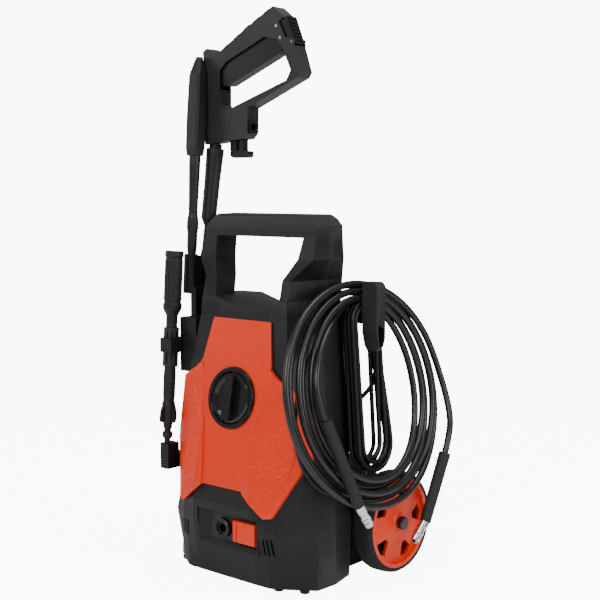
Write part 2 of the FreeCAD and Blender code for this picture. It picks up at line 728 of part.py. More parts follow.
# ---------------------------------------------------------------- lances
def turned_rod(name, label, profile, foot, direction):
    """A turned piece whose local Z axis runs from foot along direction."""
    body = new_body(name)
    turn(body, polygon(body, name + "_profile", "XZ", profile))
    body.Placement = FreeCAD.Placement(VEC(*foot), FreeCAD.Rotation(Z_AXIS, direction))
    keep(body, label)
    return body


def make_turbo_lance():
    tube = new_body("turbo_tube")
    profile = [(3, -12), (4.6, -12), (4.6, 6), (6.2, 7), (8, 10), (8, 16), (5.5, 18), (5.5, 22),
               (7, 24), (7, 29), (9.6, 33), (10.5, 60), (9, 66), (9, 120), (3, 120)]
    turn(tube, polygon(tube, "turbo_profile", "XZ", profile))
    fin = [(8, 34), (15, 33), (17, 38), (15, 52), (8, 66)]
    sketch = polygon(tube, "turbo_fin", "XZ", fin)
    ring_pattern(tube, pad(tube, sketch, 4, both=True), sketch, 4, "V_Axis")
    tube.Placement = FreeCAD.Placement(VEC(*TURBO_FOOT), FreeCAD.Rotation(Z_AXIS, TURBO_DIR))
    keep(tube, "turbo_lance_tube")

    sleeve = new_body("turbo_sleeve")
    pad(sleeve, circles(sleeve, "sleeve_ring", "XY", (0, 0), 12, 8.2, lift=120.3), 60)
    slot = [(9.9, -1.1), (13, -1.1), (13, 1.1), (9.9, 1.1)]
    sketch = polygon(sleeve, "sleeve_slot", "XY", slot, lift=126)
    ring_pattern(sleeve, pocket(sleeve, sketch, 48, back=True), sketch, 10)
    sleeve.Placement = FreeCAD.Placement(VEC(*TURBO_FOOT), FreeCAD.Rotation(Z_AXIS, TURBO_DIR))
    keep(sleeve, "turbo_sleeve")
    head = [(3, 180.6), (9, 180.6), (9, 199), (14.2, 209), (14.8, 213), (14.8, 217), (13.4, 219),
            (13.2, 290), (14.4, 292), (14.4, 299), (12, 300), (9.5, 300), (9.5, 294), (3, 294)]
    turned_rod("turbo_head", "turbo_head", head, TURBO_FOOT, TURBO_DIR)


def make_vario_lance():
    tube = [(2.6, 0), (5.4, 0), (5.4, 3), (7, 3), (7, 6), (5.4, 6), (5.4, 9), (7, 9), (7, 14.5),
            (8, 22), (8, 44), (8.6, 46), (8.6, 66), (7.2, 74), (7.4, 90), (9, 150), (9, 164),
            (2.6, 164)]
    turned_rod("vario_tube", "vario_lance_tube", tube, VARIO_FOOT, VARIO_DIR)
    hood = new_body("vario_lance_hood")
    levels = [(164.3, 11.5, 10, 0), (176, 13.5, 11, 0), (225, 13.5, 11, 0), (290, 12, 10, 0),
              (318, 6, 5, 3)]
    sections = []
    for number, (level, half_x, half_y, shift) in enumerate(levels):
        corner = 3.5
        outline = [
            (-half_x + corner, -half_y + shift), (half_x - corner, -half_y + shift),
            (half_x, -half_y + corner + shift), (half_x, half_y - corner + shift),
            (half_x - corner, half_y + shift), (-half_x + corner, half_y + shift),
            (-half_x, half_y - corner + shift), (-half_x, -half_y + corner + shift),
        ]
        sections.append(polygon(hood, f"hood{number}", "XY", outline, lift=level))
    loft(hood, sections)
    hood.Placement = FreeCAD.Placement(VEC(*VARIO_FOOT), FreeCAD.Rotation(Z_AXIS, VARIO_DIR))
    keep(hood, "vario_lance_hood")


# ---------------------------------------------------------------- spray gun
GUN_OUTLINE = [
    (-139.5, 652), (-56, 659), (-48, 668), (-47, 705), (56, 745), (61, 753), (47.7, 792),
    (39, 789), (17, 828.5), (26.7, 834), (23.8, 838), (5.7, 852), (-29.7, 835), (-59, 820),
    (-87, 804), (-104, 795), (-117.5, 792), (-134, 801), (-143, 796), (-139.5, 770),
]
GUN_WINDOW = [
    (-106, 712), (-100, 704), (-83, 706), (32.4, 742), (41, 756), (24, 792), (13, 803), (-12, 809),
    (-93, 777), (-106, 765),
]
GUN_CAVITY = [
    (-117, 738), (-117, 786), (-104, 790), (-86, 799), (-57.5, 815), (-29, 829.5), (0, 838),
    (14, 824), (26, 804), (36, 770), (20, 764), (-83, 730),
]
VALVE_CHAMBER = [(-125, 660), (-99, 660), (-99, 702), (-125, 702)]
HOSE_CHANNEL = [(-63.8, 666.8), (-40, 666.8), (-40, 686.2), (-63.8, 686.2)]
CLIP_SLOTS = [
    [(-91.4, 640), (-76.8, 640), (-76.8, 664), (-91.4, 664)],
    [(-71.3, 640), (-62.7, 640), (-62.7, 664), (-71.3, 664)],
]
GUN_PINS = [(12, 823), (20, 805)]
CATCH_PIN = (42.9, 797.5)
# The cheeks that hold the catch's pin stand on the outer faces of the two shells.
CATCH_EAR = [(30, 792), (39, 789), (47.7, 792), (48.6, 800), (42, 803.5), (30, 805)]


def gun_half(label, side):
    """One gun shell: side -1 is the front half (towards -Y), +1 the rear half."""
    body = new_body(label)
    middle = -DIM["gun_y"]
    back = side > 0
    sketch = polygon(body, label + "_form", "XZ", GUN_OUTLINE, GUN_WINDOW, lift=middle)
    pad(body, sketch, DIM["gun_half"], back=back)
    for number, (outline, depth) in enumerate((
            (GUN_CAVITY, 10), (VALVE_CHAMBER, 9.8), (HOSE_CHANNEL, 9.4),
            (CLIP_SLOTS[0], 6.4), (CLIP_SLOTS[1], 6.4))):
        hollow = polygon(body, f"{label}_hollow{number}", "XZ", outline, lift=middle)
        pocket(body, hollow, depth, back=not back)
    for number, centre in enumerate(GUN_PINS):
        hole = circles(body, f"{label}_pin{number}", "XZ", centre, 2.52, lift=middle)
        pocket(body, hole, both=True)
    ear = polygon(body, label + "_ear", "XZ", CATCH_EAR, lift=middle - side * 11.3)
    pad(body, ear, DIM["gun_half"] - 11.3, back=back)
    ear_hole = circles(body, label + "_ear_hole", "XZ", CATCH_PIN, 1.62, lift=middle)
    pocket(body, ear_hole, both=True)
    keep(body, label)


def make_gun():
    gun_half("gun_shell_front", -1)
    gun_half("gun_shell_rear", 1)
    y = DIM["gun_y"]
    front = -y

    trigger = new_body("trigger")
    outline = [(-104.7, 741), (-90, 741), (14.3, 781.5), (19, 786), (22, 795), (24.4, 801),
               (24.6, 806), (21, 809.6), (10, 812), (-8, 818), (-94, 783), (-104.7, 771)]
    pad(trigger, polygon(trigger, "trigger_form", "XZ", outline, lift=front), 18, both=True)
    hole = circles(trigger, "trigger_hole", "XZ", GUN_PINS[1], 2.56, lift=front)
    pocket(trigger, hole, both=True)
    keep(trigger, "trigger")

    pins = [rod(f"gun_pin{number}", 2.5, 26, (x, y - 13, z), Y_AXIS)
            for number, (x, z) in enumerate(GUN_PINS)]
    pins.append(rod("catch_pin", 1.6, 26, (CATCH_PIN[0], y - 13, CATCH_PIN[1]), Y_AXIS))
    keep(group("pins", *pins), "gun_pins")

    catch = new_body("gun_catch")
    outline = [(41, 791.8), (49, 794.5), (32, 835.9), (21, 829.4)]
    pad(catch, polygon(catch, "catch_form", "XZ", outline, lift=front), 22, both=True)
    hole = circles(catch, "catch_hole", "XZ", CATCH_PIN, 1.66, lift=front)
    pocket(catch, hole, both=True)
    keep(catch, "gun_catch")

    keep(rod("valve_rod", 8.5, 34, (-112, y, 664)), "gun_valve")
    port = block("port_block", (-63.4, y - 9.2, 667), (-46, y + 9.2, 686))
    bore = rod("port_bore", 5.5, 30, (-70, y, 676.5), X_AXIS)
    keep(cut("hose_port", port, bore), "gun_hose_port")

    clip = new_body("hose_fork_clip")
    outline = [(-90.8, 634), (-85, 630), (-54.5, 630), (-50.7, 634), (-52.6, 640), (-63.3, 641),
               (-63.3, 662), (-70.7, 662), (-70.7, 641), (-77.4, 641), (-77.4, 662), (-90.8, 662)]
    pad(clip, polygon(clip, "clip_form", "XZ", outline, lift=front), 12, both=True)
    keep(clip, "hose_fork_clip")

    profile = [(2.5, 0.4), (10, 0.4), (10, 7), (14, 8), (14, 14), (12.4, 60), (12, 118), (6, 130),
               (6, 236), (4.5, GUN_LANCE_LENGTH), (2.5, GUN_LANCE_LENGTH)]
    down = GUN_LANCE_DIR.negative()
    turned_rod("gun_lance", "gun_lance", profile, GUN_LANCE_TOP, down)


# ---------------------------------------------------------------- hose and cord
def arc_route(points):
    """Straight runs joined by tangent arcs; returns the wire and the arcs' radii."""
    nodes = [VEC(*p) for p in points]
    edges = []
    radii = []
    start = nodes[0]
    for before, here, after in zip(nodes, nodes[1:], nodes[2:]):
        run_in = (here - before).normalize()
        run_out = (after - here).normalize()
        half_turn = run_in.getAngle(run_out) / 2
        reach = 0.45 * min((here - before).Length, (after - here).Length)
        radii.append(reach / math.tan(half_turn))
        begin = here - run_in * reach
        end = here + run_out * reach
        bisector = (run_out - run_in).normalize()
        centre_distance = reach / math.sin(half_turn)
        middle = here + bisector * (centre_distance - radii[-1]) if half_turn else here
        edges.append(Part.LineSegment(start, begin).toShape())
        edges.append(Part.Arc(begin, middle, end).toShape())
        start = end
    edges.append(Part.LineSegment(start, nodes[-1]).toShape())
    return Part.Wire(edges), radii


def tube(label, points, radius):
    wire, radii = arc_route(points)
    direction = VEC(*points[1]) - VEC(*points[0])
    section = Part.Wire([Part.Circle(VEC(*points[0]), direction, radius).toShape()])
    solid = wire.makePipeShell([section], True, False)
    feature = doc.addObject("Part::Feature", label + "_tube")
    feature.Shape = solid
    ideal = math.pi * radius ** 2 * wire.Length
    print(f"{label}: length {wire.Length:.0f}, smallest radius {min(radii):.1f}, "
          f"volume ratio {solid.Volume / ideal:.4f}, radii {[round(r) for r in radii]}")
    keep(feature, label)


COIL_CENTRE = (158.5, 4.0, 281.0)
COIL_TILT = 11.6
COIL_SKEW = -6.5
CORD_LEAD = [(84, 39, 250), (84, 56, 250), (91, 76, 259), (106, 87, 281), (120, 86, 308),
             (128, 72, 328), (129, 50, 334)]
CORD_LOOP = [(128, 6, 386), (127, -22, 387), (127, -60, 372), (131, -97, 345), (138, -128, 304),
             (143, -145, 252), (145, -134, 200), (146, -102, 160), (146, -62, 138), (145, -34, 150),
             (142, -18, 180), (139, -2, 206)]
CORD_TAIL = [(133, 40, 176), (122, 40, 183), (108, 38, 187), (92, 36, 186), (77, 35, 185.6)]
SLEEVE_A = ((180, -120, 264), (205.5, -77, 139), (208, -53, 103))
SLEEVE_B = ((202.5, 141, 177), (201, 92, 79), (203, 56, 53))


def unit(start, end):
    return (VEC(*end) - VEC(*start)).normalize()


def make_hose():
    coil = new_body("hose_coil")
    for tag, half_wide, half_high, thick, removing in (
            ("outer", 188, 171.5, 16, False), ("inner", 110, 141, 30, True)):
        ring = [(half_high * math.cos(math.radians(a)), half_wide * math.sin(math.radians(a)))
                for a in range(0, 360, 15)]
        sketch = polygon(coil, "coil_" + tag, "XY", ring)
        if removing:
            pocket(coil, sketch, both=True)
        else:
            pad(coil, sketch, thick, both=True)
    face_right = FreeCAD.Rotation(Y_AXIS, 90)
    tilt = FreeCAD.Rotation(Y_AXIS, -COIL_TILT)
    skew = FreeCAD.Rotation(X_AXIS, COIL_SKEW)
    coil.Placement = FreeCAD.Placement(
        VEC(*COIL_CENTRE), tilt.multiply(skew).multiply(face_right))
    keep(coil, "hose_coil")
    for letter, (start, end, tip) in (("a", SLEEVE_A), ("b", SLEEVE_B)):
        length = (VEC(*end) - VEC(*start)).Length
        sleeve = cone("sleeve_" + letter, 9.2, 8.5, length, start, unit(start, end))
        keep(sleeve, "hose_sleeve_" + letter)
        profile = [(3, -1), (7.6, -1), (7.6, 12), (6.6, 14), (6.6, 22), (7.6, 22), (7.6, 27),
                   (6, 27), (6, 30), (7.2, 30), (7.2, 35), (6.2, 38), (3, 38)]
        turned_rod("fitting_" + letter, "hose_fitting_" + letter, profile, end, unit(end, tip))


def make_power_cord():
    hank = new_body("power_cord_hank")
    outer = [(-11, -208), (5, -232), (20, -240), (38, -234), (60, -210), (54, -70), (46, 1),
             (36, 8), (4, 8), (-2, 1), (-4, -100)]
    inner = [(8, -188), (13, -208), (32, -208), (40, -188), (38, -70), (36, 3), (8, 3), (9, -70)]
    pad(hank, polygon(hank, "hank_form", "YZ", outer, inner), 12, both=True)
    place(hank, (126, 0, 400), Y_AXIS, -3.2)
    keep(hank, "power_cord_hank")
    gland = fuse("gland", rod("gland_flange", 9, 3, (84, DIM["tower_back"], 250), Y_AXIS),
                 cone("gland_boot", 6, 4.4, 24, (84, DIM["tower_back"] + 3, 250), Y_AXIS),
                 rod("gland_stem", 6, 10, (84, DIM["tower_back"] - 10, 250), Y_AXIS))
    keep(gland, "cord_gland")
    tube("power_cord_lead", CORD_LEAD, DIM["cord_rad"])
    tube("power_cord_loop", CORD_LOOP, DIM["cord_rad"])
    tube("power_cord_tail", CORD_TAIL, DIM["cord_rad"])
    plug_end = CORD_TAIL[-1]
    plug = new_body("power_plug")
    outline = [(0, -5), (10, -9), (34, -13), (38, -13), (38, 13), (34, 13), (10, 9), (0, 5)]
    pad(plug, polygon(plug, "plug_form", "XY", outline, lift=-3.6), 19)
    for number, y in enumerate((-9.5, 9.5)):
        sketch = circles(plug, f"plug_pin{number}", "YZ", (y, 6.0), 2.4, lift=37.5)
        pad(plug, sketch, 19.5)
    place(plug, plug_end, Z_AXIS, 184)
    keep(plug, "power_plug")


def make_screws():
    screws = []
    for number, (x, z) in enumerate(SCREW_PLACES):
        back = DIM["tower_back"]
        head = rod(f"screw_head{number}", 4, 2.4, (x, back, z), Y_AXIS)
        shank = rod(f"screw_shank{number}", 2.0, 12, (x, back - 11, z), Y_AXIS)
        screws.append(fuse(f"screw{number}", head, shank))
    keep(group("screws", *screws), "housing_screws")


def main():
    hull = make_hull()
    make_front_housing()
    make_rear_housing()
    make_pump_cover()
    make_base_plate()
    make_feet()
    make_front_cover()
    make_handle()
    make_knob_group()
    make_outlet_group()
    make_wheel(1)
    make_wheel(-1)
    make_axle()
    make_drive()
    make_hook()
    make_holders(hull)
    make_turbo_lance()
    make_vario_lance()
    make_gun()
    make_hose()
    make_power_cord()
    make_screws()
    doc.recompute()

    failed = [o.Name for o in doc.Objects if "Invalid" in o.State or "Error" in o.State]
    bad = [o.Label for o in SUBPARTS if o.Shape.isNull() or not o.Shape.isValid()]
    print("failed features:", failed)
    print("bad shapes:", bad)
    if failed or bad:
        raise SystemExit("the model has failed features")
    os.makedirs("parts", exist_ok=True)
    for obj in SUBPARTS:
        obj.Shape.exportStep(f"parts/{obj.Label}.step")
    print(len(SUBPARTS), "sub-parts written")


main()
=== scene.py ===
import json
import math

import bmesh
import bpy
from mathutils import Matrix, Vector
from mathutils.bvhtree import BVHTree


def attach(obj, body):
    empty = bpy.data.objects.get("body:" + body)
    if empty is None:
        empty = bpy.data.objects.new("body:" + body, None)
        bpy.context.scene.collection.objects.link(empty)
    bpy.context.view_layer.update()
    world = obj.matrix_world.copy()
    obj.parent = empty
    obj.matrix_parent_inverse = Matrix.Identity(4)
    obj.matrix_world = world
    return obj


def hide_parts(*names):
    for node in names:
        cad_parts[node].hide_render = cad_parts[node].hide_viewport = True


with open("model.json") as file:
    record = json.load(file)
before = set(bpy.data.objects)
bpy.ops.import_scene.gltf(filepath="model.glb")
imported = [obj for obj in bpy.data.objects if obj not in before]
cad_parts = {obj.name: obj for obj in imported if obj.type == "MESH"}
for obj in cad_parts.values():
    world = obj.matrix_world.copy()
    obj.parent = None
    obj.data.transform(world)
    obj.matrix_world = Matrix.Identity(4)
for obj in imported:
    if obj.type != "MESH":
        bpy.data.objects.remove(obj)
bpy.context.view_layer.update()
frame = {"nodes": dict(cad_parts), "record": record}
NODES = frame["nodes"]
MM = 0.001


def mm(*values):
    """A vector given in mm, in the frame's metres."""
    return Vector(values) * MM


# ------------------------------------------------------------------ camera, stage, light
CAMERA_PLACE = (1.188, -1.333, 0.580)
CAMERA_TILT = 84.6
CAMERA_TURN = 41.0
LENS = 69.66
SENSOR = 36.0


def make_camera():
    data = bpy.data.cameras.new("camera")
    data.sensor_width = SENSOR
    data.lens = LENS
    camera = bpy.data.objects.new("camera", data)
    camera.location = CAMERA_PLACE
    camera.rotation_euler = (math.radians(CAMERA_TILT), 0.0, math.radians(CAMERA_TURN))
    bpy.context.scene.collection.objects.link(camera)
    bpy.context.scene.camera = camera


def area_light(name, place, target, size, power):
    """A rectangular lamp at a place, turned towards a target."""
    data = bpy.data.lights.new(name, "AREA")
    data.shape = "RECTANGLE"
    data.size, data.size_y = size
    data.energy = power
    light = bpy.data.objects.new(name, data)
    light.location = place
    light.rotation_euler = (Vector(target) - Vector(place)).to_track_quat("-Z", "Y").to_euler()
    bpy.context.scene.collection.objects.link(light)


FLOOR_REACH = 9.0
FLOOR_DROP = 0.0004
FLOOR_GLOW = 9.0
BACKDROP = 9.6
SKY = 0.30
AIM = (0, 0, 0.4)
# name, place, size and power of each lamp
LAMPS = (("key", (0.6, -2.2, 2.0), (1.3, 1.3), 46), ("side", (2.3, 0.1, 1.3), (0.7, 1.7), 30),
         ("top", (0.2, 0.3, 2.6), (1.6, 1.6), 30), ("left", (-2.2, -1.4, 1.2), (0.8, 1.6), 12))


def make_floor():
    """A pale floor that also glows a little for the camera, so that it meets the backdrop."""
    mesh = bpy.data.meshes.new("floor")
    mesh.from_pydata([(-FLOOR_REACH, -FLOOR_REACH, 0), (FLOOR_REACH, -FLOOR_REACH, 0),
                      (FLOOR_REACH, FLOOR_REACH, 0), (-FLOOR_REACH, FLOOR_REACH, 0)],
                     [], [(0, 1, 2, 3)])
    floor = bpy.data.objects.new("floor", mesh)
    floor.location.z = -FLOOR_DROP
    bpy.context.scene.collection.objects.link(floor)
    material = bpy.data.materials.new("floor")
    material.use_nodes = True
    tree = material.node_tree
    shader = tree.nodes["Principled BSDF"]
    shader.inputs["Base Color"].default_value = (0.93, 0.93, 0.93, 1)
    shader.inputs["Roughness"].default_value = 0.9
    shader.inputs["Emission Color"].default_value = (1.0, 1.0, 1.0, 1)
    ray = tree.nodes.new("ShaderNodeLightPath")
    lift = tree.nodes.new("ShaderNodeMath")
    lift.operation = "MULTIPLY"
    lift.inputs[1].default_value = FLOOR_GLOW
    tree.links.new(ray.outputs["Is Camera Ray"], lift.inputs[0])
    tree.links.new(lift.outputs["Value"], shader.inputs["Emission Strength"])
    mesh.materials.append(material)


def make_stage():
    """Floor, lamps, and a world that is bright for the camera and dim as a light source."""
    make_floor()
    world = bpy.data.worlds.new("world")
    world.use_nodes = True
    tree = world.node_tree
    sky = tree.nodes["Background"]
    sky.inputs["Color"].default_value = (1.0, 1.0, 1.0, 1)
    sky.inputs["Strength"].default_value = SKY
    backdrop = tree.nodes.new("ShaderNodeBackground")
    backdrop.inputs["Color"].default_value = (1.0, 1.0, 1.0, 1)
    backdrop.inputs["Strength"].default_value = BACKDROP
    ray = tree.nodes.new("ShaderNodeLightPath")
    mix = tree.nodes.new("ShaderNodeMixShader")
    tree.links.new(ray.outputs["Is Camera Ray"], mix.inputs["Fac"])
    tree.links.new(sky.outputs["Background"], mix.inputs[1])
    tree.links.new(backdrop.outputs["Background"], mix.inputs[2])
    tree.links.new(mix.outputs["Shader"], tree.nodes["World Output"].inputs["Surface"])
    bpy.context.scene.world = world
    for name, place, size, power in LAMPS:
        area_light(name, place, AIM, size, power)


# ------------------------------------------------------------------ materials
DRIFT_SCALE = 14.0
SMUDGE_SCALE = 38.0
SMUDGE_RANGE = 0.06
WEAR_START, WEAR_FULL = 0.53, 0.62
GRAIN_DEPTH = 0.0004
ORANGE = (0.78, 0.036, 0.002)


def plastic(name, colour, rough, grain=900.0, bump=0.12, vary=0.12, metallic=0.0, coat=0.0,
            scratch=0.0, worn=0.0, shine=0.3):
    """A finish with colour drift, roughness drift, edge wear and a fine grain, in object space."""
    material = bpy.data.materials.new(name)
    material.use_nodes = True
    tree = material.node_tree
    nodes, links = tree.nodes, tree.links
    shader = nodes["Principled BSDF"]
    shader.inputs["Metallic"].default_value = metallic
    shader.inputs["Coat Weight"].default_value = coat
    shader.inputs["Coat Roughness"].default_value = 0.12
    if not metallic:
        shader.inputs["Specular IOR Level"].default_value = shine
    place = nodes.new("ShaderNodeTexCoord")
    drift = nodes.new("ShaderNodeTexNoise")
    drift.inputs["Scale"].default_value = DRIFT_SCALE
    drift.inputs["Detail"].default_value = 5.0
    links.new(place.outputs["Object"], drift.inputs["Vector"])
    colours = nodes.new("ShaderNodeValToRGB")
    dark = [c * (1 - vary) for c in colour] + [1]
    light = [min(1, c * (1 + vary)) for c in colour] + [1]
    colours.color_ramp.elements[0].position = 0.3
    colours.color_ramp.elements[0].color = dark
    colours.color_ramp.elements[1].position = 0.7
    colours.color_ramp.elements[1].color = light
    links.new(drift.outputs["Fac"], colours.inputs["Fac"])
    surface = colours.outputs["Color"]
    if worn:
        edge = nodes.new("ShaderNodeNewGeometry")
        sharp = nodes.new("ShaderNodeMapRange")
        sharp.inputs["From Min"].default_value = WEAR_START
        sharp.inputs["From Max"].default_value = WEAR_FULL
        sharp.inputs["To Max"].default_value = worn
        links.new(edge.outputs["Pointiness"], sharp.inputs["Value"])
        mix = nodes.new("ShaderNodeMixRGB")
        mix.inputs["Color2"].default_value = [min(1, c * 1.6 + 0.05) for c in colour] + [1]
        links.new(sharp.outputs["Result"], mix.inputs["Fac"])
        links.new(surface, mix.inputs["Color1"])
        surface = mix.outputs["Color"]
    links.new(surface, shader.inputs["Base Color"])
    roughness = nodes.new("ShaderNodeMapRange")
    roughness.inputs["To Min"].default_value = max(0.03, rough - SMUDGE_RANGE)
    roughness.inputs["To Max"].default_value = rough + SMUDGE_RANGE
    smudge = nodes.new("ShaderNodeTexNoise")
    smudge.inputs["Scale"].default_value = SMUDGE_SCALE
    smudge.inputs["Detail"].default_value = 4.0
    links.new(place.outputs["Object"], smudge.inputs["Vector"])
    links.new(smudge.outputs["Fac"], roughness.inputs["Value"])
    links.new(roughness.outputs["Result"], shader.inputs["Roughness"])
    fine = nodes.new("ShaderNodeTexNoise")
    fine.inputs["Scale"].default_value = grain
    fine.inputs["Detail"].default_value = 2.0
    if scratch:
        stretch = nodes.new("ShaderNodeMapping")
        stretch.inputs["Scale"].default_value = (1.0, 1.0, scratch)
        links.new(place.outputs["Object"], stretch.inputs["Vector"])
        links.new(stretch.outputs["Vector"], fine.inputs["Vector"])
    else:
        links.new(place.outputs["Object"], fine.inputs["Vector"])
    grained = nodes.new("ShaderNodeBump")
    grained.inputs["Strength"].default_value = bump
    grained.inputs["Distance"].default_value = GRAIN_DEPTH
    links.new(fine.outputs["Fac"], grained.inputs["Height"])
    links.new(grained.outputs["Normal"], shader.inputs["Normal"])
    return material


def make_finishes():
    """One finish for each material slot of the record."""
    black = (0.0075, 0.0078, 0.0084)
    return {
        "body_black": plastic("moulded_black", black, 0.44, bump=0.35, worn=0.3),
        "cover_orange": plastic("moulded_orange", (0.78, 0.030, 0.001), 0.38, grain=1100,
                                bump=0.16, vary=0.05, worn=0.2),
        "knob_black": plastic("polished_black", (0.008, 0.008, 0.009), 0.16, bump=0.02, coat=0.4),
        "button_orange": plastic("button_orange", ORANGE, 0.34, bump=0.1, vary=0.05),
        "foot_rubber": plastic("foot_rubber", (0.015, 0.015, 0.015), 0.8, bump=0.3),
        "tyre_rubber": plastic("tyre_rubber", (0.012, 0.0125, 0.0135), 0.62, grain=600, bump=0.4),
        "hub_orange": plastic("hub_orange", ORANGE, 0.36, grain=1000, bump=0.14,
                              vary=0.06, worn=0.2),
        "axle_steel": plastic("drawn_steel", (0.55, 0.56, 0.57), 0.3, metallic=1.0, scratch=0.1),
        "outlet_brass": plastic("dull_brass", (0.05, 0.045, 0.04), 0.4, metallic=0.9, bump=0.1),
        "pump_aluminium": plastic("cast_aluminium", (0.62, 0.63, 0.64), 0.45, metallic=1.0,
                                  grain=400, bump=0.4),
        "motor_paint": plastic("motor_enamel", (0.06, 0.065, 0.07), 0.35, bump=0.1),
        "rotor_steel": plastic("laminated_steel", (0.42, 0.40, 0.38), 0.4, metallic=1.0,
                               scratch=8.0, bump=0.3),
        "inner_plastic": plastic("inner_plastic", (0.10, 0.10, 0.105), 0.5, bump=0.2),
        "pipe_rubber": plastic("pipe_rubber", (0.03, 0.03, 0.033), 0.5),
        "inlet_plastic": plastic("inlet_plastic", (0.03, 0.03, 0.032), 0.42),
        "hose_black": plastic("hose_jacket", (0.005, 0.0052, 0.006), 0.34, grain=500, bump=0.08,
                              vary=0.25, shine=0.5),
        "sleeve_black": plastic("sleeve_rubber", (0.013, 0.0135, 0.0145), 0.6, bump=0.35),
        "fitting_chrome": plastic("plated_fitting", (0.80, 0.81, 0.82), 0.14, metallic=1.0,
                                  bump=0.05, vary=0.06),
        "cord_black": plastic("cord_jacket", (0.006, 0.0062, 0.007), 0.36, grain=700, bump=0.12,
                              vary=0.2),
        "gun_black": plastic("gun_plastic", black, 0.42, bump=0.38, worn=0.3),
        "trigger_black": plastic("trigger_plastic", (0.006, 0.006, 0.0065), 0.36, bump=0.2),
        "lance_black": plastic("lance_plastic", (0.010, 0.0105, 0.0115), 0.42, bump=0.3, worn=0.25),
        "holder_black": plastic("holder_plastic", (0.006, 0.006, 0.0065), 0.5, bump=0.3),
        "screw_steel": plastic("zinc_plate", (0.5, 0.51, 0.53), 0.28, metallic=1.0),
    }


# ------------------------------------------------------------------ building pieces
def new_piece(name, mesh, body, slot, finishes):
    """A rigid piece with its finish, riding on a body."""
    piece = bpy.data.objects.new(name, mesh)
    bpy.context.scene.collection.objects.link(piece)
    mesh.materials.append(finishes[slot])
    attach(piece, body)
    return piece


def spline_object(name, points, diameter, finish):
    """A round tube along one open smooth spline; its radius is held by the control points."""
    curve = bpy.data.curves.new(name, "CURVE")
    curve.dimensions = "3D"
    curve.bevel_depth = 1.0
    curve.bevel_resolution = 7
    curve.use_fill_caps = True
    spline = curve.splines.new("NURBS")
    spline.points.add(len(points) - 1)
    for control, point in zip(spline.points, points):
        control.co = (*point, 1)
        control.radius = diameter / 2
    spline.order_u = 3
    spline.use_endpoint_u = True
    spline.resolution_u = 12
    piece = bpy.data.objects.new(name, curve)
    bpy.context.scene.collection.objects.link(piece)
    curve.materials.append(finish)
    return piece


def curve_length(piece):
    """Length of a curve object's own centreline."""
    curve = piece.data
    depth, curve.bevel_depth = curve.bevel_depth, 0.0
    graph = bpy.context.evaluated_depsgraph_get()
    graph.update()
    mesh = bpy.data.meshes.new_from_object(piece.evaluated_get(graph))
    total = sum((mesh.vertices[a].co - mesh.vertices[b].co).length
                for a, b in (edge.vertices for edge in mesh.edges))
    bpy.data.meshes.remove(mesh)
    curve.bevel_depth = depth
    return total


# ------------------------------------------------------------------ high-pressure hose
HOSE_DIAMETER = 0.0104
COIL_FRAME = (Matrix.Translation(mm(158.5, 4, 281))
              @ Matrix.Rotation(math.radians(-11.6), 4, "Y")
              @ Matrix.Rotation(math.radians(-6.5), 4, "X"))
# quarter turns of the coil: five turns and one quarter more
QUARTERS = 21
PER_QUARTER = 5
# where each sleeve meets the hose, and where it meets its fitting, in mm
SLEEVE_A = ((180, -120, 264), (205.5, -77, 139))
SLEEVE_B = ((202.5, 141, 177), (201, 92, 79))


def coil_corner(turn, quarter):
    """Semi-axis and depth of a turn where it passes right, top, left and bottom, in mm."""
    side = 1 if turn % 2 == 0 else -1
    if quarter == 0:
        return 183 - 12.9 * turn, 3.2 * side
    if quarter == 1:
        return 166 - 10.8 * (turn // 2), 5.4 * side - 0.4
    if quarter == 2:
        return 183 - 13.2 * turn, 3.2 * side
    return 165 - 9.6 * turn, 5.6 * side


def coil_points():
    """Points of the coil, from its right side round over the top, in the machine's frame."""
    points = []
    corners = [coil_corner(*divmod(index, 4)) for index in range(QUARTERS + 1)]
    for index in range(QUARTERS):
        (reach_a, depth_a), (reach_b, depth_b) = corners[index], corners[index + 1]
        for step in range(PER_QUARTER):
            angle = (index + step / PER_QUARTER) * math.pi / 2
            lean = (step / PER_QUARTER) * math.pi / 2
            wide, high = (reach_a, reach_b) if index % 2 == 0 else (reach_b, reach_a)
            depth = depth_a * math.cos(lean) ** 2 + depth_b * math.sin(lean) ** 2
            points.append(COIL_FRAME @ mm(depth, wide * math.cos(angle), high * math.sin(angle)))
    return points


def make_hose(finishes):
    """The high-pressure hose: one spline from sleeve B, round the coil, to sleeve A."""
    start, foot = Vector(SLEEVE_B[0]), Vector(SLEEVE_B[1])
    rise = (start - foot).normalized()
    lead_in = [start - 8 * rise, start + 24 * rise, Vector((188, 178, 234))]
    end, tip = Vector(SLEEVE_A[0]), Vector(SLEEVE_A[1])
    fall = (tip - end).normalized()
    lead_out = [Vector((124, 6, 421)), Vector((129, -34, 401)), Vector((145, -70, 384)),
                Vector((157, -104, 357)), Vector((168, -127, 320)), end - 26 * fall,
                end + 8 * fall]
    points = [p * MM for p in lead_in] + coil_points()[1:] + [p * MM for p in lead_out]
    hose = spline_object("pressure_hose", points, HOSE_DIAMETER, finishes["hose_black"])
    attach(hose, "machine")
    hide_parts("hose_coil")
    length = curve_length(hose)


